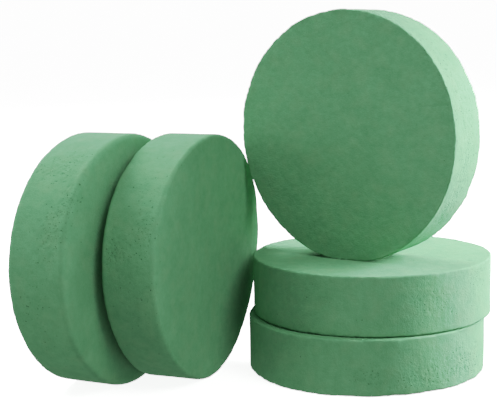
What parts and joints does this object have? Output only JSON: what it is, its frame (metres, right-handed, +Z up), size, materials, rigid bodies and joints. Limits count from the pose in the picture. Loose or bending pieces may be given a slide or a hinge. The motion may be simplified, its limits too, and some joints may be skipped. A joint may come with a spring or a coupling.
{
  "type": "floral foam disc set",
  "caption": "Round blocks of wettable floral foam shown as a display set: a flat stack, a disc standing on it and discs standing beside it; stems push into any face.",
  "frame": {"origin": "on the ground, under the middle of the whole set's box", "axes": "+Z up; +X to the right along the set's longest side; +Y to the back along its shortest side, so the set is viewed from -Y"},
  "size_m": [0.3071, 0.1915, 0.2346],
  "materials": {
    "floral_foam": "matte"
  },
  "bodies": {
    "lower_disc": {"lower_stack_disc": "floral_foam"},
    "upper_disc": {"upper_stack_disc": "floral_foam"},
    "top_disc": {"top_standing_disc": "floral_foam"},
    "near_disc": {"near_standing_disc": "floral_foam"},
    "far_disc": {"far_standing_disc": "floral_foam"}
  },
  "joints": [
    {"name": "upper_disc_lift", "type": "slide", "parent": "lower_disc", "child": "upper_disc", "axis": [0, 0, 1], "range_m": [0, 0.1]},
    {"name": "top_disc_lift", "type": "slide", "parent": "upper_disc", "child": "top_disc", "axis": [0, 0, 1], "range_m": [0, 0.1]},
    {"name": "near_disc_pull", "type": "slide", "parent": "lower_disc", "child": "near_disc", "axis": [-0.3987, -0.9171, 0], "range_m": [0, 0.18]},
    {"name": "far_disc_pull", "type": "slide", "parent": "lower_disc", "child": "far_disc", "axis": [-0.4384, -0.8988, 0], "range_m": [0, 0.18]}
  ]
}
